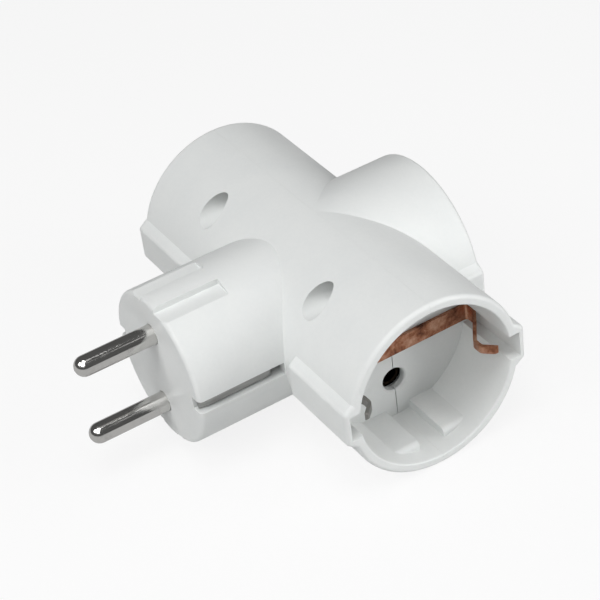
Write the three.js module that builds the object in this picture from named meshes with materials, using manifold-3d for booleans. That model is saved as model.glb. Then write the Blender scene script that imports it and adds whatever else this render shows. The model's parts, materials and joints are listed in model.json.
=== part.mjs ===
// Triple socket adapter: a plug body in front, two side sockets and one back socket.
// Millimetres, +Z up. X runs along the two side sockets, Y from the plug face to the back socket.
// Sizes are measured from where the axes of the side sockets and of the plug cross; at the end the
// whole part is moved so that its origin is the middle of its footprint.

import * as THREE from 'three';
import Module from 'manifold-3d';

const wasm = await Module();
wasm.setup();

// Body. PAST is how far a cutting shape runs beyond the surface that it opens.
const ARM_RADIUS = 21.75;
const SIDE_REACH = 44.4;
const BACK_REACH = 28.4;
const RIM_ROUND = 1.0;
const WALL = 2.35;
const SEAM_GAP = 0.02;
const PAST = 1;
const ROUND_STEPS = 72;
const CORNER_STEPS = 3;

// Side rails that carry the earth channels. Those of the side arms start just clear of the
// plug body, those of the back arm inside the side arms.
const RAIL_RISE = 1.45;
const RAIL_REACH = ARM_RADIUS + RAIL_RISE;
const RAIL_CLEAR = 0.3;
const RAIL_BURIED = 1;
const RAIL_HALF = 4.65;
const RAIL_FOOT = 5.8;
const RAIL_ROOT = ARM_RADIUS - 0.85;
const RAIL_ROUND = 1.1;
const RAIL_END_ROUND = 0.8;
const CHANNEL_WALL = 1.3;
const CHANNEL_REACH = RAIL_REACH - CHANNEL_WALL;
const CHANNEL_HALF = 3.2;
const CHANNEL_INSET = 1.5;

// Socket recesses.
const RECESS_RADIUS = ARM_RADIUS - WALL;
const RECESS_DEPTH = 17.5;
const RECESS_LIP = 0.4;
const BASE_PLATE = 1.8;
const BASE_SEAM = 0.24;
const GUIDE_INNER = 3.2;
const GUIDE_OUTER = 10.3;
const GUIDE_HEIGHT = 17;
const GUIDE_SETBACK = 4.2;
const GUIDE_ROUND = 1.3;

// Pins and contacts.
const PIN_OFFSET = 9.5;
const PIN_RADIUS = 2.4;
const PIN_LENGTH = 19;
const PIN_INNER = 12;
const PIN_NECK = 1.5;
const PIN_HEAD = 2.1;
const PIN_HEAD_TOP = 1.5;
const PIN_HEAD_HEIGHT = 0.7;
const PIN_FIT = 0.1;
const HOLE_RADIUS = 2.9;
const HOLE_BEVEL = 0.35;
const SLEEVE_RADIUS = 3.3;
const SLEEVE_BORE = 2.5;
const SLEEVE_FLARE = 0.3;
const SLEEVE_LENGTH = 13;
const SLEEVE_SETBACK = 0.9;
const SLEEVE_CLEARANCE = 0.25;
const SLIT_WIDTH = 1.1;
const SLIT_STOP = 3;
const SHEET = 0.8;
const BUSBAR_WIDTH = 6;
const BUSBAR_END = 16.8;
const INNER_GAP = 0.6;

// Plug body.
const PLUG_RADIUS = 18.3;
const PLUG_FACE = 43.3;
const PLUG_ROUND = 1.1;
const PLUG_CAVITY = 14.6;
const PLUG_CAVITY_SIDE = 12.2;
const PLUG_FRONT = 3;
const COLLAR_RADIUS = 4.3;
const COLLAR_LENGTH = 7;
const KEY_INNER = 2.8;
const KEY_FLOOR = 16.7;
const KEY_LENGTH = 16.2;
const SLOT_HALF = 1.6;
const SLOT_DEPTH = 3.2;
const SLOT_END = ARM_RADIUS + 0.15;
const WINDOW_FRONT = 28;
const WINDOW_REAR = 19.8;
const WINDOW_DEPTH = 5.5;

// Strips at the sides of the plug body.
const STRIP_OUTER = 16.8;
const STRIP_HALF = 1.3;
const STRIP_BEND = 1.2;
const STRIP_FRONT_GAP = 0.7;
const STRIP_FRONT_TURN = 0.6;
const STRIP_FRONT_LENGTH = 2.4;
const STRIP_SHOULDER = 3.2;
const STRIP_DROP = 5.2;
const TAIL_START = 1.8;
const TAIL_LENGTH = 5;

// Earth straps of the sockets, measured forward from the base and sideways from the socket axis.
const STRAP_HALF = 2;
const STRAP_CLEAR = 0.05;
const STRAP_TO_WALL = 1.7;
const STRAP_SIDE = CHANNEL_REACH - STRAP_TO_WALL;
const STRAP_FORWARD = 3.2;
const STRAP_BEND = 1.3;
const TONGUE_HALF = 0.95;
const TONGUE_TAPER = 1.8;
const NOSE_SIDE = STRAP_SIDE - 5.7;
const NOSE_FORWARD = 11.2;
const CREST_FORWARD = 13.5;
const TIP_SIDE = STRAP_SIDE - 3.1;
const TIP_FORWARD = 16.1;
const LEG_HALF = 2;
const LEG_REACH = 5;
const LEG_CLEARANCE = 0.3;

// Body screws.
const SCREW_X = 21.9;
const SCREW_Z = 16.4;
const WELL_RADIUS = 3.1;
const WELL_FLOOR = 5;
const WELL_BOSS = 4.5;
const SCREW_SHANK = 1.3;
const SCREW_CLEARANCE = 0.15;
const SCREW_HEAD = 2.7;
const SCREW_HEAD_HEIGHT = 1.9;
const SCREW_HEAD_ROUND = 0.6;
const SCREW_DEPTH = 7.5;
const SCREW_POINT = 0.4;
const SCREW_TAPER = 1.5;
const CROSS_LENGTH = 1.6;
const CROSS_WIDTH = 0.35;
const CROSS_DEPTH = 1.1;
const REAR_BOSS = 3.6;
const REAR_BOSS_LENGTH = 9;

const SIDES = [-1, 1];
const SLEEVE_TOP = PIN_OFFSET + SLEEVE_RADIUS;
const SLOT_FLOOR = PLUG_RADIUS - SLOT_DEPTH;
const STRIP_INNER = STRIP_OUTER - STRIP_DROP;
const LEG_TOP = SHEET - STRAP_HALF;
const SIDE_ROOM = SIDE_REACH - RECESS_DEPTH - BASE_PLATE;
const BACK_ROOM = BACK_REACH - RECESS_DEPTH - BASE_PLATE;

// Each socket is described with its mouth at y = 0, facing +Y, and then turned and moved to its place.
const SOCKETS = [
  { name: 'right', turn: -Math.PI / 2, reach: SIDE_REACH, railStart: ARM_RADIUS + RAIL_CLEAR },
  { name: 'left', turn: Math.PI / 2, reach: SIDE_REACH, railStart: ARM_RADIUS + RAIL_CLEAR },
  { name: 'back', turn: 0, reach: BACK_REACH, railStart: ARM_RADIUS - RAIL_BURIED },
];

const LEVELS = [
  { name: 'upper', side: 1 },
  { name: 'lower', side: -1 },
];

function socketPlace(socket) {
  const turn = new THREE.Matrix4().makeRotationZ(socket.turn);
  return turn.multiply(new THREE.Matrix4().makeTranslation(0, socket.reach, 0));
}

// Two limits on one side of the middle, in rising order.
function span(side, inner, outer) {
  return side > 0 ? [inner, outer] : [-outer, -inner];
}

// Welds a geometry's corners, drops folded triangles and turns the faces outward.
function solidOf(geometry) {
  const position = geometry.getAttribute('position');
  const index = geometry.getIndex();
  const count = index ? index.count : position.count;
  const known = new Map();
  const corners = [];
  const faces = [];
  const weld = (i) => {
    const p = [position.getX(i), position.getY(i), position.getZ(i)];
    const key = p.map((v) => Math.round(v * 1e4)).join(',');
    if (!known.has(key)) {
      known.set(key, corners.length / 3);
      corners.push(...p);
    }
    return known.get(key);
  };
  for (let i = 0; i < count; i += 3) {
    const [a, b, c] = [0, 1, 2].map((k) => weld(index ? index.getX(i + k) : i + k));
    if (a !== b && b !== c && c !== a) faces.push(a, b, c);
  }
  if (signedVolume(corners, faces) < 0) faces.reverse();
  return new wasm.Manifold(new wasm.Mesh({
    numProp: 3,
    vertProperties: new Float32Array(corners),
    triVerts: new Uint32Array(faces),
  }));
}

function signedVolume(corners, faces) {
  const [a, b, c] = [0, 1, 2].map(() => new THREE.Vector3());
  let sum = 0;
  for (let i = 0; i < faces.length; i += 3) {
    a.fromArray(corners, faces[i] * 3);
    b.fromArray(corners, faces[i + 1] * 3);
    c.fromArray(corners, faces[i + 2] * 3);
    sum += a.dot(b.cross(c));
  }
  return sum;
}

function union(solids) {
  return solids.reduce((whole, solid) => whole.add(solid));
}

function cut(solid, tools) {
  return tools.reduce((rest, tool) => rest.subtract(tool), solid);
}

function placed(geometry, matrix) {
  if (matrix) geometry.applyMatrix4(matrix);
  return solidOf(geometry);
}

// Turns a profile of [radius, height] pairs about the Y axis.
function revolve(profile, steps = ROUND_STEPS) {
  return new THREE.LatheGeometry(profile.map(([r, h]) => new THREE.Vector2(r, h)), steps);
}

// A rod along Y from one height to the other.
function rod(radius, low, high, x = 0, z = 0, steps = 24) {
  return revolve([[0, low], [radius, low], [radius, high], [0, high]], steps).translate(x, 0, z);
}

function block(x0, x1, y0, y1, z0, z1) {
  const geometry = new THREE.BoxGeometry(x1 - x0, y1 - y0, z1 - z0);
  return geometry.translate((x0 + x1) / 2, (y0 + y1) / 2, (z0 + z1) / 2);
}

// Points of a round corner from one direction to the next, in degrees.
function arc(cx, cy, radius, from, to, steps = CORNER_STEPS) {
  const points = [];
  for (let i = 0; i <= steps; i += 1) {
    const angle = THREE.MathUtils.degToRad(from + ((to - from) * i) / steps);
    points.push([cx + radius * Math.cos(angle), cy + radius * Math.sin(angle)]);
  }
  return points;
}

function shapeOf(points) {
  return new THREE.Shape(points.map(([u, v]) => new THREE.Vector2(u, v)));
}

function roundedBlock(u0, u1, v0, v1, radius) {
  return shapeOf([
    ...arc(u1 - radius, v0 + radius, radius, -90, 0),
    ...arc(u1 - radius, v1 - radius, radius, 0, 90),
    ...arc(u0 + radius, v1 - radius, radius, 90, 180),
    ...arc(u0 + radius, v0 + radius, radius, 180, 270),
  ]);
}

// Extrudes a flat shape from low to high, with round end edges if asked for.
// The plane names the two directions that the shape lies in.
function extrude(shape, plane, low, high, round = 0) {
  const geometry = new THREE.ExtrudeGeometry(shape, {
    depth: high - low - 2 * round,
    bevelEnabled: round > 0,
    bevelThickness: round,
    bevelSize: round,
    bevelOffset: -round,
    bevelSegments: CORNER_STEPS,
  });
  geometry.translate(0, 0, low + round);
  const axes = {
    xy: [[1, 0, 0], [0, 1, 0], [0, 0, 1]],
    xz: [[1, 0, 0], [0, 0, 1], [0, 1, 0]],
    yz: [[0, 1, 0], [0, 0, 1], [1, 0, 0]],
  }[plane].map((v) => new THREE.Vector3(...v));
  return geometry.applyMatrix4(new THREE.Matrix4().makeBasis(...axes));
}

// Rounds the inner corners of an open path and gives it the thickness of the sheet.
function bentSheet(path, radius, thickness) {
  const line = path.map(([u, v]) => new THREE.Vector2(u, v));
  const smooth = [line[0]];
  for (let i = 1; i < line.length - 1; i += 1) {
    const before = line[i - 1].clone().sub(line[i]);
    const after = line[i + 1].clone().sub(line[i]);
    const nearest = Math.min(before.length(), after.length()) / 2;
    const turn = Math.acos(before.normalize().dot(after.normalize()));
    const reach = Math.min(radius / Math.tan(turn / 2), nearest);
    const start = line[i].clone().addScaledVector(before, reach);
    const end = line[i].clone().addScaledVector(after, reach);
    const curve = new THREE.QuadraticBezierCurve(start, line[i], end);
    smooth.push(...curve.getPoints(4));
  }
  smooth.push(line[line.length - 1]);
  const normals = smooth.map((p, i) => {
    const next = smooth[Math.min(i + 1, smooth.length - 1)];
    const last = smooth[Math.max(i - 1, 0)];
    const along = next.clone().sub(last).normalize();
    return new THREE.Vector2(-along.y, along.x).multiplyScalar(thickness / 2);
  });
  const near = smooth.map((p, i) => p.clone().add(normals[i]));
  const far = smooth.map((p, i) => p.clone().sub(normals[i])).reverse();
  return new THREE.Shape([...near, ...far]);
}

// Lathe profile of a round body with both ends rounded.
function barrelProfile(radius, low, high, round) {
  return [
    [0, low],
    ...arc(radius - round, low + round, round, -90, 0),
    ...arc(radius - round, high - round, round, 0, 90),
    [0, high],
  ];
}

function sideArms() {
  const barrel = revolve(barrelProfile(ARM_RADIUS, -SIDE_REACH, SIDE_REACH, RIM_ROUND));
  return placed(barrel.rotateZ(Math.PI / 2));
}

function backArm() {
  return placed(revolve(barrelProfile(ARM_RADIUS, -WALL, BACK_REACH, RIM_ROUND)));
}

// Section of a pair of rails through the arm: flat outer faces, round edges, sloping flanks.
function railSection() {
  const x = RAIL_REACH - RAIL_ROUND;
  const z = RAIL_HALF - RAIL_ROUND;
  const slope = THREE.MathUtils.radToDeg(Math.atan2(RAIL_FOOT - RAIL_HALF, RAIL_REACH - RAIL_ROOT));
  const end = 90 - slope;
  return shapeOf([
    [RAIL_ROOT, -RAIL_FOOT],
    ...arc(x, -z, RAIL_ROUND, -end, 0),
    ...arc(x, z, RAIL_ROUND, 0, end),
    [RAIL_ROOT, RAIL_FOOT],
    [-RAIL_ROOT, RAIL_FOOT],
    ...arc(-x, z, RAIL_ROUND, 180 - end, 180),
    ...arc(-x, -z, RAIL_ROUND, 180, 180 + end),
    [-RAIL_ROOT, -RAIL_FOOT],
  ]);
}

// Two rails on opposite sides of a socket arm, with round ends.
function armRails(socket) {
  const start = socket.railStart - socket.reach;
  return placed(extrude(railSection(), 'xz', start, 0, RAIL_END_ROUND), socketPlace(socket));
}

// The plug body is round; above and below, flats leave a key ridge between them.
function plugBody() {
  const body = placed(revolve(barrelProfile(PLUG_RADIUS, -PLUG_FACE, 0, PLUG_ROUND)));
  const front = -PLUG_FACE - PAST;
  const flats = SIDES.flatMap((side) => SIDES.map((level) => {
    const x = span(side, KEY_INNER, PLUG_RADIUS);
    const z = span(level, KEY_FLOOR, PLUG_RADIUS + PAST);
    return placed(block(...x, front, KEY_LENGTH - PLUG_FACE, ...z));
  }));
  return cut(body, flats);
}

// Open room for the contacts: along the side arms and into the plug body, short of the back socket.
function contactRoom() {
  const across = rod(RECESS_RADIUS, -SIDE_ROOM, SIDE_ROOM, 0, 0, ROUND_STEPS).rotateZ(Math.PI / 2);
  const plugRod = placed(rod(PLUG_CAVITY, PLUG_FRONT - PLUG_FACE, 0, 0, 0, ROUND_STEPS));
  const side = PLUG_CAVITY_SIDE;
  const inPlug = plugRod.intersect(placed(block(-side, side, -PLUG_FACE, 0, -ARM_RADIUS, ARM_RADIUS)));
  const backSocket = placed(rod(ARM_RADIUS, BACK_ROOM, BACK_REACH, 0, 0, ROUND_STEPS));
  return placed(across).add(inPlug).subtract(backSocket);
}

// Collars behind the plug face hold the pins; round posts hold the body screws.
function innerPosts() {
  const posts = [];
  for (const side of SIDES) {
    const rear = PLUG_FRONT + COLLAR_LENGTH - PLUG_FACE;
    posts.push(placed(rod(COLLAR_RADIUS, PLUG_FRONT / 2 - PLUG_FACE, rear, 0, side * PIN_OFFSET)));
    for (const level of SIDES) {
      const x = side * SCREW_X;
      const z = level * SCREW_Z;
      posts.push(placed(rod(WELL_BOSS, -ARM_RADIUS, 0, x, z)));
      posts.push(placed(rod(REAR_BOSS, 0, REAR_BOSS_LENGTH, x, z)));
    }
  }
  return union(posts);
}

// Room kept clear of the posts for the contact sleeves of the side sockets.
function sleeveRoom() {
  const front = -RECESS_DEPTH - BASE_PLATE;
  const rods = SOCKETS.slice(0, 2).flatMap((socket) => SIDES.map((side) => {
    const rear = front - SLEEVE_SETBACK - SLEEVE_LENGTH - INNER_GAP;
    const room = rod(SLEEVE_RADIUS + SLEEVE_CLEARANCE, rear, front, 0, side * PIN_OFFSET);
    return placed(room, socketPlace(socket));
  }));
  return union(rods);
}

function recess(place) {
  const mouth = RECESS_RADIUS + RECESS_LIP;
  return placed(revolve([
    [0, -RECESS_DEPTH],
    [RECESS_RADIUS, -RECESS_DEPTH],
    ...arc(mouth, -RECESS_LIP, RECESS_LIP, 180, 90, 2),
    [mouth, PAST],
    [0, PAST],
  ]), place);
}

// Guide blocks stand in pairs above and below, with an open channel between the two of a pair.
function guideBlocks(place) {
  const front = -GUIDE_SETBACK;
  const rear = -RECESS_DEPTH - BASE_PLATE / 2;
  const foot = RECESS_RADIUS + WALL / 2;
  const blocks = [];
  for (const level of SIDES) {
    const section = shapeOf([
      [rear, level * GUIDE_HEIGHT],
      ...arc(front - GUIDE_ROUND, level * (GUIDE_HEIGHT + GUIDE_ROUND), GUIDE_ROUND, -90 * level, 0),
      [front, level * foot],
      [rear, level * foot],
    ]);
    for (const side of SIDES) {
      blocks.push(placed(extrude(section, 'yz', ...span(side, GUIDE_INNER, GUIDE_OUTER)), place));
    }
  }
  const shell = placed(rod(foot, rear, front, 0, 0, ROUND_STEPS), place);
  return union(blocks).intersect(shell);
}

// Contact holes, earth channels and the opening for the strap's leg.
function socketOpenings(place) {
  const tools = [];
  const inside = -RECESS_DEPTH - BASE_PLATE - PAST;
  for (const side of SIDES) {
    const hole = revolve([
      [0, inside],
      [HOLE_RADIUS, inside],
      [HOLE_RADIUS, -RECESS_DEPTH - HOLE_BEVEL],
      [HOLE_RADIUS + 2 * HOLE_BEVEL, -RECESS_DEPTH + HOLE_BEVEL],
      [0, -RECESS_DEPTH + HOLE_BEVEL],
    ], 24);
    tools.push(placed(hole.translate(0, 0, side * PIN_OFFSET), place));
    const x = span(side, RECESS_RADIUS - CHANNEL_INSET, CHANNEL_REACH);
    tools.push(placed(block(...x, -RECESS_DEPTH, PAST, -CHANNEL_HALF, CHANNEL_HALF), place));
  }
  const half = LEG_HALF + LEG_CLEARANCE;
  const low = -STRAP_HALF - LEG_CLEARANCE;
  const high = LEG_TOP + LEG_CLEARANCE;
  tools.push(placed(block(-half, half, inside, PAST - RECESS_DEPTH, low, high), place));
  return union(tools);
}

// The two halves of a side socket's base meet with a fine open line.
function baseSeam(place) {
  const half = BASE_SEAM / 2;
  const rear = -RECESS_DEPTH - BASE_PLATE - PAST;
  const front = -RECESS_DEPTH + PAST;
  return placed(block(-half, half, rear, front, -RECESS_RADIUS, RECESS_RADIUS), place);
}

// Slots at both sides of the plug body, with a window through which the strip's tail goes inside.
function plugSlots() {
  const front = -PLUG_FACE - PAST;
  const tools = SIDES.flatMap((side) => {
    const open = span(side, SLOT_FLOOR, PLUG_RADIUS + PAST);
    const window = span(side, SLOT_FLOOR - WINDOW_DEPTH, SLOT_FLOOR + PAST);
    return [
      placed(block(...open, front, -SLOT_END, -SLOT_HALF, SLOT_HALF)),
      placed(block(...window, -WINDOW_FRONT, -WINDOW_REAR, -SLOT_HALF, SLOT_HALF)),
    ];
  });
  return union(tools);
}

function wellsAndBores() {
  const tools = [];
  for (const side of SIDES) {
    tools.push(placed(rod(PIN_RADIUS + PIN_FIT, -PLUG_FACE - PAST, 0, 0, side * PIN_OFFSET)));
    for (const level of SIDES) {
      const x = side * SCREW_X;
      const z = level * SCREW_Z;
      const bore = SCREW_SHANK + SCREW_CLEARANCE;
      tools.push(placed(rod(WELL_RADIUS, -ARM_RADIUS - PAST, -WELL_FLOOR, x, z, 32)));
      tools.push(placed(rod(bore, -WELL_FLOOR - PAST, SCREW_DEPTH + SCREW_CLEARANCE, x, z, 16)));
    }
  }
  return union(tools);
}

// The whole moulded body before it is parted into the two shells.
function mouldedBody() {
  const outside = union([sideArms(), backArm(), plugBody(), ...SOCKETS.map(armRails)]);
  const posts = innerPosts().subtract(sleeveRoom()).intersect(outside);
  let body = outside.subtract(contactRoom()).add(posts);
  const places = SOCKETS.map(socketPlace);
  body = cut(body, places.map(recess));
  body = union([body, ...places.map(guideBlocks)]);
  body = cut(body, places.map(socketOpenings));
  body = cut(body, places.slice(0, 2).map(baseSeam));
  return cut(body, [plugSlots(), wellsAndBores()]);
}

function shellHalf(body, side) {
  const far = PLUG_FACE + BACK_REACH;
  const wide = SIDE_REACH + PAST;
  return body.intersect(placed(block(-wide, wide, ...span(side, SEAM_GAP / 2, far), -wide, wide)));
}

// Round pin with a domed tip, a thinner neck inside and a riveted head behind the busbar.
function plugPin(side) {
  const root = PIN_INNER - PLUG_FACE;
  const tip = -PLUG_FACE - PIN_LENGTH;
  const behind = root + SHEET + PIN_FIT;
  return placed(revolve([
    ...arc(0, tip + PIN_RADIUS, PIN_RADIUS, -90, 0, 6),
    [PIN_RADIUS, root],
    [PIN_NECK, root],
    [PIN_NECK, behind],
    [PIN_HEAD, behind],
    [PIN_HEAD_TOP, behind + PIN_HEAD_HEIGHT],
    [0, behind + PIN_HEAD_HEIGHT],
  ], 24).translate(0, 0, side * PIN_OFFSET));
}

// Flat cross of sheet metal with a tab turned in over the end of the pin.
function busbar(side) {
  const half = BUSBAR_WIDTH / 2;
  const root = PIN_INNER - PLUG_FACE + PIN_FIT / 2;
  const end = BUSBAR_END;
  const rear = BACK_ROOM - INNER_GAP;
  const outline = shapeOf([
    [-half, root], [half, root], [half, -half], [end, -half], [end, half], [half, half],
    [half, rear], [-half, rear], [-half, half], [-end, half], [-end, -half], [-half, -half],
  ]);
  const plate = placed(extrude(outline, 'xy', ...span(side, SLEEVE_TOP, SLEEVE_TOP + SHEET)));
  const tabZ = span(side, PIN_OFFSET - half, SLEEVE_TOP + SHEET / 2);
  const tab = placed(block(-half, half, root, root + SHEET, ...tabZ));
  const eye = placed(rod(PIN_NECK + PIN_FIT, root - PAST, root + SHEET + PAST, 0, side * PIN_OFFSET));
  return plate.add(tab).subtract(eye);
}

// Slit tube behind a contact hole; the slit lets it spring onto the pin of a plug.
function contactSleeve(socket, side) {
  const front = -RECESS_DEPTH - BASE_PLATE - SLEEVE_SETBACK;
  const rear = front - SLEEVE_LENGTH;
  const profile = [
    [SLEEVE_BORE, rear],
    [SLEEVE_RADIUS, rear],
    [SLEEVE_RADIUS, front],
    [SLEEVE_BORE + SLEEVE_FLARE, front],
    [SLEEVE_BORE, front - SLEEVE_FLARE],
    [SLEEVE_BORE, rear],
  ];
  const place = socketPlace(socket);
  const tube = placed(revolve(profile, 20).translate(0, 0, side * PIN_OFFSET), place);
  const z = span(side, PIN_OFFSET - SLEEVE_RADIUS - PAST, PIN_OFFSET);
  const slit = block(-SLIT_WIDTH / 2, SLIT_WIDTH / 2, rear + SLIT_STOP, front + PAST, ...z);
  return tube.subtract(placed(slit, place));
}

// Blank of the strap seen along its tongues: wide across the base, narrow and round at the tips.
function strapBlank() {
  const base = -RECESS_DEPTH - PAST;
  const shoulder = STRAP_FORWARD - RECESS_DEPTH;
  const neck = shoulder + TONGUE_TAPER;
  const end = TIP_FORWARD - RECESS_DEPTH - TONGUE_HALF + SHEET / 2;
  return shapeOf([
    [base, -STRAP_HALF],
    [shoulder, -STRAP_HALF],
    [neck, -TONGUE_HALF],
    ...arc(end, 0, TONGUE_HALF, -90, 90, 8),
    [neck, TONGUE_HALF],
    [shoulder, STRAP_HALF],
    [base, STRAP_HALF],
  ]);
}

// One strip of sheet: tongue, side, base, side, tongue. A leg is turned back through the base
// from the lower edge.
function earthStrap(socket) {
  const base = SHEET / 2 + STRAP_CLEAR;
  const half = [
    [STRAP_SIDE, base],
    [STRAP_SIDE, STRAP_FORWARD],
    [NOSE_SIDE, NOSE_FORWARD],
    [NOSE_SIDE, CREST_FORWARD],
    [TIP_SIDE, TIP_FORWARD],
  ];
  const path = [
    ...half.map(([x, y]) => [-x, y - RECESS_DEPTH]).reverse(),
    ...half.map(([x, y]) => [x, y - RECESS_DEPTH]),
  ];
  const place = socketPlace(socket);
  const sheet = bentSheet(path, STRAP_BEND, SHEET);
  const bent = placed(extrude(sheet, 'xy', -STRAP_HALF - PAST, STRAP_HALF + PAST), place);
  const wide = STRAP_SIDE + SHEET;
  const blank = placed(extrude(strapBlank(), 'yz', -wide, wide), place);
  const rear = -RECESS_DEPTH - LEG_REACH;
  const leg = block(-LEG_HALF, LEG_HALF, rear, base - RECESS_DEPTH, -STRAP_HALF, LEG_TOP);
  return bent.intersect(blank).add(placed(leg, place));
}

// Strip in the slot of the plug body; its tail is bent inside to meet the link.
function plugEarthStrip(side) {
  const front = STRIP_FRONT_GAP - PLUG_FACE;
  const path = [
    [STRIP_OUTER - STRIP_FRONT_TURN, front],
    [STRIP_OUTER, front + STRIP_FRONT_LENGTH],
    [STRIP_OUTER, STRIP_SHOULDER - WINDOW_FRONT],
    [STRIP_INNER, -WINDOW_REAR - TAIL_START],
    [STRIP_INNER, -WINDOW_REAR + TAIL_LENGTH],
  ].map(([x, y]) => [side * (x - SHEET / 2), y]);
  return placed(extrude(bentSheet(path, STRIP_BEND, SHEET), 'xy', -STRIP_HALF, STRIP_HALF));
}

// Flat plate on top of the three legs, with two ears turned up onto the tails of the plug strips.
function earthLink() {
  const end = SIDE_ROOM - INNER_GAP;
  const rear = BACK_ROOM - INNER_GAP;
  const earX = STRIP_INNER - SHEET;
  const front = -WINDOW_REAR - PAST;
  const earRear = front + TAIL_LENGTH;
  const outline = shapeOf([
    [-earX, front], [earX, front], [earX, earRear], [LEG_HALF, earRear], [LEG_HALF, -LEG_HALF],
    [end, -LEG_HALF], [end, LEG_HALF], [LEG_HALF, LEG_HALF], [LEG_HALF, rear], [-LEG_HALF, rear],
    [-LEG_HALF, LEG_HALF], [-end, LEG_HALF], [-end, -LEG_HALF], [-LEG_HALF, -LEG_HALF],
    [-LEG_HALF, earRear], [-earX, earRear],
  ]);
  const ears = SIDES.map((side) => {
    return placed(block(...span(side, earX - SHEET, earX), front, earRear, LEG_TOP, STRIP_HALF));
  });
  return union([placed(extrude(outline, 'xy', LEG_TOP, LEG_TOP + SHEET)), ...ears]);
}

// Pan-head screw in its well, with a cross recess in the head.
function bodyScrew(x, z) {
  const seat = -WELL_FLOOR;
  const top = seat - SCREW_HEAD_HEIGHT;
  const profile = [
    [0, top],
    ...arc(SCREW_HEAD - SCREW_HEAD_ROUND, top + SCREW_HEAD_ROUND, SCREW_HEAD_ROUND, -90, 0, 2),
    [SCREW_HEAD, seat],
    [SCREW_SHANK, seat],
    [SCREW_SHANK, SCREW_DEPTH - SCREW_TAPER],
    [SCREW_POINT, SCREW_DEPTH],
    [0, SCREW_DEPTH],
  ];
  const screw = placed(revolve(profile, 20).translate(x, 0, z));
  const arms = [[CROSS_LENGTH, CROSS_WIDTH], [CROSS_WIDTH, CROSS_LENGTH]].map(([u, v]) => {
    return placed(block(x - u, x + u, top - PAST, top + CROSS_DEPTH, z - v, z + v));
  });
  return cut(screw, arms);
}

const MATERIALS = {
  plastic: { color: 0xe6e7e8, roughness: 0.42, metalness: 0 },
  nickel: { color: 0xc9c8c4, roughness: 0.2, metalness: 1 },
  brass: { color: 0xc9a25a, roughness: 0.34, metalness: 1 },
  copper: { color: 0xa86a45, roughness: 0.38, metalness: 1 },
  steel: { color: 0xa9abad, roughness: 0.32, metalness: 1 },
};

const group = new THREE.Group();
group.name = 'triple_socket_adapter';

function addPiece(name, solid, finish) {
  const mesh = solid.getMesh();
  const geometry = new THREE.BufferGeometry();
  geometry.setAttribute('position', new THREE.BufferAttribute(Float32Array.from(mesh.vertProperties), 3));
  geometry.setIndex(Array.from(mesh.triVerts));
  geometry.computeVertexNormals();
  const piece = new THREE.Mesh(geometry, new THREE.MeshStandardMaterial(MATERIALS[finish]));
  piece.name = name;
  group.add(piece);
}

const body = mouldedBody();
addPiece('front_shell', shellHalf(body, -1), 'plastic');
addPiece('rear_shell', shellHalf(body, 1), 'plastic');

for (const level of LEVELS) {
  addPiece(`plug_pin_${level.name}`, plugPin(level.side), 'nickel');
  addPiece(`busbar_${level.name}`, busbar(level.side), 'brass');
}
for (const socket of SOCKETS) {
  addPiece(`earth_strap_${socket.name}`, earthStrap(socket), 'copper');
  for (const level of LEVELS) {
    addPiece(`contact_sleeve_${socket.name}_${level.name}`, contactSleeve(socket, level.side), 'brass');
  }
}
addPiece('plug_earth_strip_right', plugEarthStrip(1), 'nickel');
addPiece('plug_earth_strip_left', plugEarthStrip(-1), 'nickel');
addPiece('earth_link', earthLink(), 'copper');
for (const level of LEVELS) {
  addPiece(`body_screw_right_${level.name}`, bodyScrew(SCREW_X, level.side * SCREW_Z), 'steel');
  addPiece(`body_screw_left_${level.name}`, bodyScrew(-SCREW_X, level.side * SCREW_Z), 'steel');
}

const pinTip = PLUG_FACE + PIN_LENGTH;
group.position.set(0, (pinTip - BACK_REACH) / 2, ARM_RADIUS);

export default group;
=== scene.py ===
"""Looks of a triple socket adapter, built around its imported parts.

Moulded white shells, bright plug pins and tarnished earth straps, seen from above the right socket.
Everything is in metres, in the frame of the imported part: X to the right socket, Y to the back socket, Z up.
"""

import json

import bpy
import numpy as np
from mathutils import Euler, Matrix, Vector


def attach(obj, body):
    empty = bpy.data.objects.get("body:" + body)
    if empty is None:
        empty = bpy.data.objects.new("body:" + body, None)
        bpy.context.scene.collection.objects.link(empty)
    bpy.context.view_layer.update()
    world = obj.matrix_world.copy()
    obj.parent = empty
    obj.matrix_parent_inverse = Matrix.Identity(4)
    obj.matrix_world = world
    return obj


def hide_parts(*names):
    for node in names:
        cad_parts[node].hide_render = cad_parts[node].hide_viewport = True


MM = 0.001
X, Y, Z = 0, 1, 2
BOTH_SIDES = (-1, 1)
TINY = 1e-9

# Where the axes of the side sockets and of the plug body cross, in the part's frame.
CENTRE = np.array([0.0, 16.95, 21.75]) * MM

# Sizes of the round forms, in millimetres, measured from that crossing.
ARM_RADIUS = 21.75
SIDE_REACH = 44.4
BACK_REACH = 28.4
RIM_ROUND = 1.0
RECESS_RADIUS = 19.4
RECESS_LIP = 0.4
PLUG_RADIUS = 18.3
PLUG_FACE = 43.3
PLUG_ROUND = 1.1
RAIL_REACH = 23.2
RAIL_HALF = 4.65
RAIL_ROUND = 1.1
GUIDE_HEIGHT = 17.0
GUIDE_SETBACK = 4.2
GUIDE_ROUND = 1.3
PIN_OFFSET = 9.5
PIN_RADIUS = 2.4
PIN_TIP = 62.3
HOLE_RADIUS = 2.9
SCREW_X = 21.9
SCREW_Z = 16.4
WELL_RADIUS = 3.1

# Normals, in millimetres and degrees.
WELD_GAP = 0.002
FORM_GAP = 0.05
FORM_FACING = 0.94
CREASE = 40.0

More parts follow.
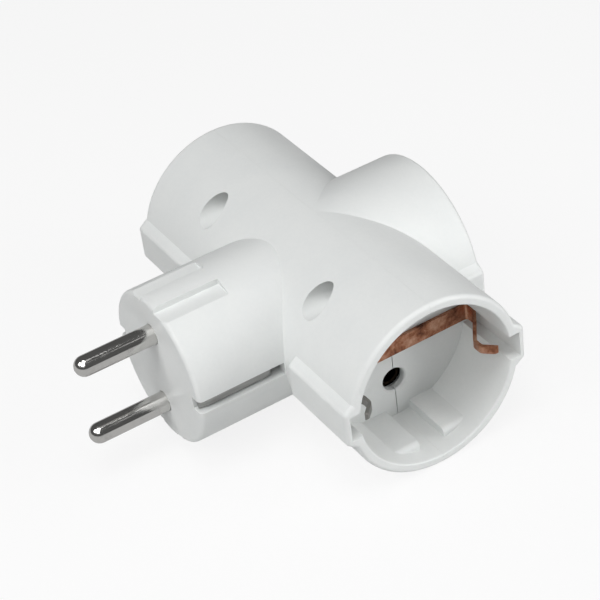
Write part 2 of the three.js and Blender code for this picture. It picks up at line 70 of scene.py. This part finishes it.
# Colours, in linear light.
PLASTIC = (0.795, 0.81, 0.80)
PLASTIC_MOTTLE = (0.955, 0.96, 0.965)
NICKEL = (0.70, 0.69, 0.67)
STRIP_STEEL = (0.46, 0.46, 0.45)
# Brass painted near black: painted shade that keeps the contact sleeves dark inside their holes.
BRASS_PAINTED_SHADE = (0.02, 0.014, 0.009)
COPPER_DARK = (0.11, 0.042, 0.025)
COPPER_RED = (0.44, 0.19, 0.11)
COPPER_PALE = (0.66, 0.40, 0.28)
PLATING = (0.30, 0.29, 0.275)
ZINC = (0.52, 0.53, 0.54)
ZINC_STAIN = (0.50, 0.47, 0.38)
FLOOR_PAINT = (0.8, 0.8, 0.8)
WHITE = (1.0, 1.0, 1.0, 1.0)

# The side sockets' front tongues kept their plating, which ends over this range of Y, in millimetres.
PLATING_FULL = 3.0
PLATING_GONE = 4.0

# Light. The camera sees a white sky and a nearly white floor with a faint shadow, metal mirrors a
# dim room over a pale floor, and soft lamps light the part: name, azimuth and elevation in degrees,
# size in millimetres, watts.
FLOOR_REACH = 3.0
FLOOR_WHITE = 0.85
FLOOR_MIRRORED = 0.5
SKY_MIRRORED = 0.10
LAMP_DISTANCE = 600.0
LAMPS = [
    ("above", 315.0, 75.0, 300.0, 1.47),
    ("low_right", 45.0, 12.0, 300.0, 1.47),
    ("front", 270.0, 42.0, 300.0, 1.04),
    ("front_right", 315.0, 42.0, 300.0, 0.95),
    ("back_right", 45.0, 42.0, 300.0, 0.45),
]

# The photograph's viewpoint, found from the pins, the rims and the rails: lens and sensor width in
# millimetres, place and clipping range in metres, turn in radians.
CAMERA_LENS = 122.9221
CAMERA_SENSOR = 36.0
CAMERA_PLACE = (0.325752, -0.159633, 0.301726)
CAMERA_TURN = (0.915155, 0.111066, 1.004272)
CAMERA_NEAR = 0.01
CAMERA_FAR = 20.0

# Numbered sockets of Blender's colour mix node.
MIX_SHARE = 0
MIX_FIRST = 6
MIX_SECOND = 7
MIX_RESULT = 2


def darker(colour, factor):
    """The colour times one factor."""
    return tuple(c * factor for c in colour)


class Field:
    """One socket of a node tree that can be added, multiplied and shaped like a number."""

    def __init__(self, tree, socket):
        self.tree = tree
        self.socket = socket

    def _math(self, operation, *others, clamp=False):
        node = self.tree.nodes.new("ShaderNodeMath")
        node.operation = operation
        node.use_clamp = clamp
        for place, value in enumerate((self, *others)):
            if isinstance(value, Field):
                self.tree.links.new(value.socket, node.inputs[place])
            else:
                node.inputs[place].default_value = value
        return Field(self.tree, node.outputs[0])

    def __add__(self, other):
        return self._math("ADD", other)

    def __mul__(self, other):
        return self._math("MULTIPLY", other)

    def wave(self):
        return self._math("SINE")

    def ramp(self, low, high):
        """Rises evenly from 0 at low to 1 at high and stays level outside; low may be the larger."""
        return self._math("MULTIPLY_ADD", 1.0 / (high - low), -low / (high - low), clamp=True)

    def between(self, at_zero, at_one):
        """Runs from one value where the field is 0 to another where it is 1."""
        return self * (at_one - at_zero) + at_zero


class Finish:
    """A node material under construction: one helper adds nodes, the rest reads like arithmetic."""

    def __init__(self, name, colour, roughness, metallic=0.0, **uniform):
        self.material = bpy.data.materials.new(name)
        self.material.use_nodes = True
        self.tree = self.material.node_tree
        self.shader = next(n for n in self.tree.nodes if n.type == "BSDF_PRINCIPLED")
        self.shader.inputs["Base Color"].default_value = (*colour, 1.0)
        self.shader.inputs["Roughness"].default_value = roughness
        self.shader.inputs["Metallic"].default_value = metallic
        for socket, value in uniform.items():
            self.shader.inputs[socket.replace("_", " ")].default_value = value
        self.place = self.node("ShaderNodeTexCoord", "Object")

    def node(self, kind, output, **inputs):
        """Adds one node, sets its inputs (fields are linked) and returns one output as a field."""
        made = self.tree.nodes.new(kind)
        for key, value in inputs.items():
            socket = made.inputs[key]
            if isinstance(value, Field):
                self.tree.links.new(value.socket, socket)
            else:
                socket.default_value = value
        return Field(self.tree, made.outputs[output])

    def noise(self, size, detail=3.0, roughness=0.55, stretch=(1.0, 1.0, 1.0)):
        """Cloudy values from 0 to 1 whose blotches are about size millimetres wide."""
        scaled = self.node("ShaderNodeMapping", "Vector", Vector=self.place, Scale=stretch)
        return self.node(
            "ShaderNodeTexNoise", "Fac", Vector=scaled, Scale=1.0 / (size * MM),
            Detail=detail, Roughness=roughness,
        )

    def along(self, axis):
        """The object coordinate along one axis, in millimetres."""
        return self.node("ShaderNodeSeparateXYZ", axis, Vector=self.place) * (1.0 / MM)

    def blend(self, share, first, second):
        """Mixes two colours by a share from 0 to 1."""
        made = self.tree.nodes.new("ShaderNodeMix")
        made.data_type = "RGBA"
        self.tree.links.new(share.socket, made.inputs[MIX_SHARE])
        for place, value in ((MIX_FIRST, first), (MIX_SECOND, second)):
            if isinstance(value, Field):
                self.tree.links.new(value.socket, made.inputs[place])
            else:
                made.inputs[place].default_value = (*value, 1.0)
        return Field(self.tree, made.outputs[MIX_RESULT])

    def set(self, socket, field):
        self.tree.links.new(field.socket, self.shader.inputs[socket])

    def bump(self, height, depth):
        """Raises the surface by height (0 to 1) times depth in millimetres."""
        normal = self.node("ShaderNodeBump", "Normal", Strength=1.0, Distance=depth * MM, Height=height)
        self.set("Normal", normal)


def moulded_plastic():
    """White moulded plastic: faint cloudiness, a fine spark-eroded grain and slow sink waves."""
    finish = Finish("moulded_white", PLASTIC, 0.42, Specular_IOR_Level=0.42)
    cloud = finish.noise(size=9.0, detail=2.0)
    speck = finish.noise(size=0.9, detail=2.0)
    mottle = (cloud * 0.6 + speck * 0.4).ramp(0.3, 0.7)
    shaded = tuple(c * f for c, f in zip(PLASTIC, PLASTIC_MOTTLE))
    finish.set("Base Color", finish.blend(mottle, shaded, PLASTIC))
    finish.set("Roughness", finish.noise(size=1.4).between(0.36, 0.52))
    grain = finish.noise(size=0.16, detail=2.0, roughness=0.7)
    sink = finish.noise(size=14.0, detail=1.0)
    finish.bump(grain * 0.02 + sink, depth=0.1)
    return finish.material


def bright_nickel():
    """Plated pin: mirror bright, with very fine rings left by turning and a few dull touches."""
    finish = Finish("bright_nickel", NICKEL, 0.12, metallic=1.0)
    rings = (finish.along("Y") * 38.0 + finish.noise(size=1.5) * 4.0).wave()
    touch = finish.noise(size=2.2, detail=4.0).ramp(0.45, 0.75)
    finish.set("Roughness", touch.between(0.09, 0.21))
    finish.set("Base Color", finish.blend(touch, NICKEL, darker(NICKEL, 0.86)))
    finish.bump(rings.between(0.5, 1.0), depth=0.0012)
    return finish.material


def dull_strip():
    """Rolled nickel-plated strip with lengthwise drawing marks."""
    finish = Finish("rolled_strip", STRIP_STEEL, 0.3, metallic=1.0)
    marks = finish.noise(size=0.5, stretch=(1.0, 0.08, 1.0))
    finish.set("Roughness", marks.between(0.2, 0.5))
    finish.set("Base Color", finish.blend(marks.ramp(0.3, 0.7), darker(STRIP_STEEL, 0.7), STRIP_STEEL))
    finish.bump(marks, depth=0.01)
    return finish.material


def sheet_brass_painted_shade():
    """Stamped brass painted near black, as painted shade for the deep contact holes, with random darker
    stains.
    """
    finish = Finish("sheet_brass_painted_shade", BRASS_PAINTED_SHADE, 0.5, metallic=1.0)
    stain = finish.noise(size=2.6, detail=4.0).ramp(0.35, 0.7)
    finish.set("Base Color", finish.blend(stain, BRASS_PAINTED_SHADE, darker(BRASS_PAINTED_SHADE, 0.6)))
    finish.set("Roughness", stain.between(0.26, 0.46))
    finish.bump(finish.noise(size=0.4), depth=0.008)
    return finish.material


def tarnished_copper():
    """Copper alloy sheet: pale rubbed places over red-brown tarnish, and plating left on one tongue."""
    finish = Finish("tarnished_copper", COPPER_RED, 0.36, metallic=1.0)
    broad = finish.noise(size=4.5, detail=4.0, roughness=0.6)
    fine = finish.noise(size=1.1, detail=4.0, roughness=0.65)
    stain = broad * 0.65 + fine * 0.35
    dark = finish.blend(stain.ramp(0.36, 0.5), COPPER_DARK, COPPER_RED)
    copper = finish.blend(stain.ramp(0.49, 0.64), dark, COPPER_PALE)
    plated = finish.along("Y").ramp(PLATING_GONE, PLATING_FULL)
    finish.set("Base Color", finish.blend(plated, copper, PLATING))
    finish.set("Roughness", fine.between(0.28, 0.58))
    finish.bump(fine * 0.7 + finish.noise(size=0.35) * 0.3, depth=0.03)
    return finish.material


def zinc_steel():
    """Zinc-plated screw steel with a faint yellow stain."""
    finish = Finish("zinc_steel", ZINC, 0.3, metallic=1.0)
    stain = finish.noise(size=1.3).ramp(0.4, 0.7)
    finish.set("Base Color", finish.blend(stain, ZINC, ZINC_STAIN))
    finish.set("Roughness", stain.between(0.24, 0.44))
    finish.bump(finish.noise(size=0.3), depth=0.006)
    return finish.material


def seen_and_mirrored(tree, mirrored):
    """1 where the camera looks, and the given share where a metal mirrors."""
    path = tree.nodes.new("ShaderNodeLightPath")
    seen = Field(tree, path.outputs["Is Camera Ray"])
    return seen + Field(tree, path.outputs["Is Glossy Ray"]) * mirrored


def white_ground():
    """Pale floor: it lights the part from below, and the camera sees it nearly white with a faint shadow."""
    finish = Finish("white_ground", FLOOR_PAINT, 0.9)
    tree = finish.tree
    seen = seen_and_mirrored(tree, FLOOR_MIRRORED)
    glow = tree.nodes.new("ShaderNodeEmission")
    glow.inputs["Color"].default_value = WHITE
    tree.links.new(seen.socket, glow.inputs["Strength"])
    choose = tree.nodes.new("ShaderNodeMixShader")
    output = next(n for n in tree.nodes if n.type == "OUTPUT_MATERIAL")
    share = seen.ramp(0.0, 0.01) * FLOOR_WHITE
    for place, socket in enumerate((share.socket, finish.shader.outputs[0], glow.outputs[0])):
        tree.links.new(socket, choose.inputs[place])
    tree.links.new(choose.outputs[0], output.inputs["Surface"])
    return finish.material


def paint(node, material):
    """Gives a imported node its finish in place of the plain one."""
    node.data.materials.clear()
    node.data.materials.append(material)


class RoundForm:
    """A round form of the part: its points lie at one distance from a line, or from a ring about it."""

    def __init__(self, axis, radius, centre=(0.0, 0.0, 0.0), ring=None):
        self.axis = axis
        self.radius = radius
        self.centre = np.array(centre)
        self.ring = ring

    def normals(self, points):
        """Directions away from the line or ring at the points, and how far each point is off the form."""
        away = points - self.centre
        level = away.copy()
        level[:, self.axis] = 0.0
        if self.ring is None:
            away = level
        else:
            width = np.linalg.norm(level, axis=1, keepdims=True)
            away = away - level * (self.ring / np.maximum(width, TINY))
        length = np.linalg.norm(away, axis=1)
        return away / np.maximum(length, TINY)[:, None], np.abs(length - self.radius)


def arm_forms(axis):
    """Arms along one axis, their recesses, contact holes and rail edges."""
    across = Y if axis == X else X
    forms = [RoundForm(axis, ARM_RADIUS), RoundForm(axis, RECESS_RADIUS)]
    for side in BOTH_SIDES:
        hole = np.zeros(3)
        hole[Z] = side * PIN_OFFSET
        forms.append(RoundForm(axis, HOLE_RADIUS, hole))
        for level in BOTH_SIDES:
            edge = np.zeros(3)
            edge[across] = side * (RAIL_REACH - RAIL_ROUND)
            edge[Z] = level * (RAIL_HALF - RAIL_ROUND)
            forms.append(RoundForm(axis, RAIL_ROUND, edge))
    return forms


def mouth_forms(axis, reach):
    """Rim, recess lip and guide block edges at the open end of one arm."""
    across = Y if axis == X else X
    toward = np.zeros(3)
    toward[axis] = np.sign(reach)
    rim = toward * (abs(reach) - RIM_ROUND)
    lip = toward * (abs(reach) - RECESS_LIP)
    forms = [
        RoundForm(axis, RIM_ROUND, rim, ARM_RADIUS - RIM_ROUND),
        RoundForm(axis, RECESS_LIP, lip, RECESS_RADIUS + RECESS_LIP),
    ]
    for level in BOTH_SIDES:
        edge = toward * (abs(reach) - GUIDE_SETBACK - GUIDE_ROUND)
        edge[Z] = level * (GUIDE_HEIGHT + GUIDE_ROUND)
        forms.append(RoundForm(across, GUIDE_ROUND, edge))
    return forms


def shell_forms():
    """Plug body, arms with their open ends, and screw wells."""
    plug_ring = (0.0, PLUG_ROUND - PLUG_FACE, 0.0)
    forms = [RoundForm(Y, PLUG_RADIUS), RoundForm(Y, PLUG_ROUND, plug_ring, PLUG_RADIUS - PLUG_ROUND)]
    for axis, reaches in ((X, (SIDE_REACH, -SIDE_REACH)), (Y, (BACK_REACH,))):
        forms += arm_forms(axis)
        for reach in reaches:
            forms += mouth_forms(axis, reach)
    for side in BOTH_SIDES:
        for level in BOTH_SIDES:
            forms.append(RoundForm(Y, WELL_RADIUS, (side * SCREW_X, 0.0, level * SCREW_Z)))
    return forms


def pin_forms():
    """Straight shank and round tip of each plug pin."""
    forms = []
    for level in BOTH_SIDES:
        tip = (0.0, PIN_RADIUS - PIN_TIP, level * PIN_OFFSET)
        forms += [RoundForm(Y, PIN_RADIUS, tip), RoundForm(Y, PIN_RADIUS, tip, 0.0)]
    return forms


def form_normals(tips, flat, forms):
    """Normals of the faces whose three corners lie on a round form, and which faces lie on none."""
    middle = tips.mean(axis=1)
    result = np.repeat(flat[:, None, :], 3, axis=1)
    nearest = np.full(len(tips), FORM_GAP)
    for form in forms:
        facing = np.einsum("ij,ij->i", form.normals(middle)[0], flat)
        at_tips = [form.normals(tips[:, k]) for k in range(3)]
        off = np.max([distance for _, distance in at_tips], axis=0)
        fits = (off < nearest) & (np.abs(facing) > FORM_FACING)
        for k, (direction, _) in enumerate(at_tips):
            result[fits, k] = direction[fits] * np.sign(facing[fits])[:, None]
        nearest[fits] = off[fits]
    return result, np.flatnonzero(nearest == FORM_GAP)


def true_normals(mesh, forms):
    """One normal per face corner of a triangle mesh.

    Where the three corners of a face lie on a round form, the form gives the normals. Elsewhere a
    corner takes the mean of the faces around it that bend by less than the crease, weighted by area,
    so flat faces stay flat and narrow bends shade as one curve.
    """
    corners = np.empty(len(mesh.loops), int)
    mesh.loops.foreach_get("vertex_index", corners)
    faces = corners.reshape(-1, 3)
    points = np.empty(len(mesh.vertices) * 3)
    mesh.vertices.foreach_get("co", points)
    points = (points.reshape(-1, 3) - CENTRE) / MM
    tips = points[faces]
    cross = np.cross(tips[:, 1] - tips[:, 0], tips[:, 2] - tips[:, 0])
    area = np.linalg.norm(cross, axis=1)
    flat = cross / np.maximum(area, TINY)[:, None]
    result, loose = form_normals(tips, flat, forms)

    owner = np.repeat(loose, 3)
    corner = np.tile(np.arange(3), len(loose))
    vertex = faces[owner, corner]
    order = np.argsort(vertex, kind="stable")
    starts = np.flatnonzero(np.diff(vertex[order], prepend=-1))
    limit = np.cos(np.radians(CREASE))
    for group in np.split(order, starts[1:]):
        around = owner[group]
        close = flat[around] @ flat[around].T > limit
        mean = close @ (flat[around] * area[around][:, None])
        length = np.linalg.norm(mean, axis=1)
        good = length > TINY
        result[around[good], corner[group][good]] = mean[good] / length[good][:, None]
    return result.reshape(-1, 3)


def finished_copy(name, node, forms):
    """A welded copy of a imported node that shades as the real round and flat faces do."""
    mesh = frame["nodes"][node].data.copy()
    mesh.name = name
    piece = bpy.data.objects.new(name, mesh)
    bpy.context.scene.collection.objects.link(piece)
    weld = piece.modifiers.new("weld", "WELD")
    weld.merge_threshold = WELD_GAP * MM
    view = bpy.context.evaluated_depsgraph_get()
    welded = bpy.data.meshes.new_from_object(piece.evaluated_get(view))
    piece.modifiers.clear()
    piece.data = welded
    welded.shade_smooth()
    welded.normals_split_custom_set(true_normals(welded, forms).tolist())
    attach(piece, "root")
    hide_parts(node)


def soft_lamp(name, azimuth, elevation, size, power):
    """A square lamp that faces the part from a direction in degrees; azimuth 0 is +X, 90 is +Y."""
    data = bpy.data.lights.new(name, "AREA")
    data.shape = "SQUARE"
    data.size = size * MM
    data.energy = power
    turn, rise = np.radians([azimuth, elevation])
    toward = Vector((np.cos(rise) * np.cos(turn), np.cos(rise) * np.sin(turn), np.sin(rise)))
    lamp = bpy.data.objects.new(name, data)
    lamp.location = Vector(CENTRE) + toward * LAMP_DISTANCE * MM
    lamp.rotation_euler = toward.to_track_quat("Z", "Y").to_euler()
    bpy.context.scene.collection.objects.link(lamp)


def studio():
    """Pale floor, plain sky and soft lamps."""
    mesh = bpy.data.meshes.new("floor")
    corners = np.array([[-1, -1, 0], [1, -1, 0], [1, 1, 0], [-1, 1, 0]]) * FLOOR_REACH
    mesh.from_pydata(corners.tolist(), [], [(0, 1, 2, 3)])
    floor = bpy.data.objects.new("floor", mesh)
    bpy.context.scene.collection.objects.link(floor)
    mesh.materials.append(white_ground())

    world = bpy.data.worlds.new("sky")
    bpy.context.scene.world = world
    world.use_nodes = True
    tree = world.node_tree
    sky = next(n for n in tree.nodes if n.type == "BACKGROUND")
    tree.links.new(seen_and_mirrored(tree, SKY_MIRRORED).socket, sky.inputs["Strength"])
    sky.inputs["Color"].default_value = WHITE

    for lamp in LAMPS:
        soft_lamp(*lamp)


def photo_camera():
    """Looks at the part as the photograph does."""
    data = bpy.data.cameras.new("camera")
    data.lens = CAMERA_LENS
    data.sensor_width = CAMERA_SENSOR
    data.clip_start = CAMERA_NEAR
    data.clip_end = CAMERA_FAR
    camera = bpy.data.objects.new("camera", data)
    camera.location = CAMERA_PLACE
    camera.rotation_euler = Euler(CAMERA_TURN)
    bpy.context.scene.collection.objects.link(camera)
    bpy.context.scene.camera = camera


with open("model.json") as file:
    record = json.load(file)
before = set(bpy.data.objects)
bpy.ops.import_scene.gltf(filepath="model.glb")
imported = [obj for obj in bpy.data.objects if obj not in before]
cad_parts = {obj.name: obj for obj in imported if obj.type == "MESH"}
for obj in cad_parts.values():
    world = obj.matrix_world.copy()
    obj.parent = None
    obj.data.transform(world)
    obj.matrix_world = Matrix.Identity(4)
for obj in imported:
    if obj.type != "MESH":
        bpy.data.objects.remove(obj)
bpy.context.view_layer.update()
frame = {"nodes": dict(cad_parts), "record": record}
frame_slots = {s["node"]: s["material_slot"] for s in frame["record"]["subparts"]}

photo_camera()
studio()

FINISHES = {
    "shell": moulded_plastic(),
    "nickel": bright_nickel(),
    "brass": sheet_brass_painted_shade(),
    "copper": tarnished_copper(),
    "steel": zinc_steel(),
}
strip_finish = dull_strip()

for node_name, node in frame["nodes"].items():
    if node_name.startswith("plug_earth_strip"):
        paint(node, strip_finish)
    else:
        paint(node, FINISHES[frame_slots[node_name]])

for node_name in list(frame["nodes"]):
    if node_name.endswith("_shell"):
        finished_copy(f"{node_name}_finished", node_name, shell_forms())
    elif node_name.startswith("plug_pin"):
        finished_copy(f"{node_name}_finished", node_name, pin_forms())
    elif node_name.startswith(("earth_strap", "plug_earth_strip")):
        finished_copy(f"{node_name}_finished", node_name, [])

bpy.context.scene.view_settings.view_transform = "Standard"
